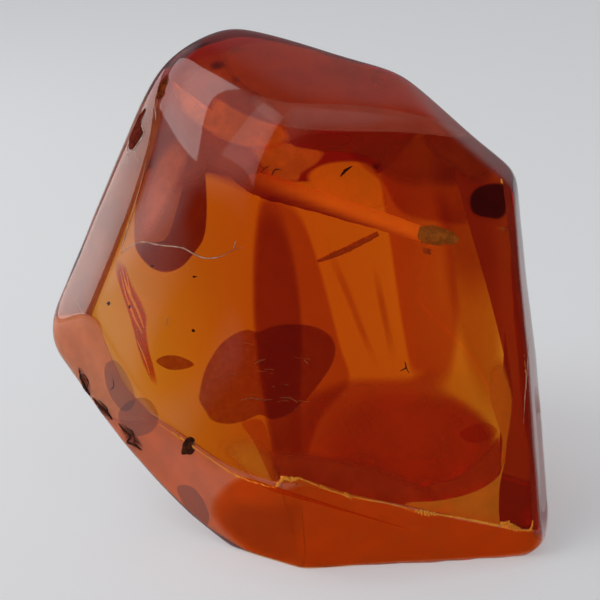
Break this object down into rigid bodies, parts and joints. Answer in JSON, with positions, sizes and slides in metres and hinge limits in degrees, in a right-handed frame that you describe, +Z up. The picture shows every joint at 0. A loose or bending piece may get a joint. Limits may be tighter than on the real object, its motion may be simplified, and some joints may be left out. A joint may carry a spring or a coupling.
{
  "type": "amber stone",
  "caption": "Clear orange amber nugget, ground and polished on flat sides, standing on its flat foot, with disc and twig inclusions.",
  "frame": {"origin": "middle of the bounding box, on the plane of the flat foot", "axes": "+Z up, -Y towards the front ridge that the viewer sees, +X to the viewer's right"},
  "size_m": [0.0426, 0.032, 0.0401],
  "materials": {
    "amber": "polished clear amber"
  },
  "bodies": {
    "root": {"amber_stone": "amber"}
  },
  "joints": []
}
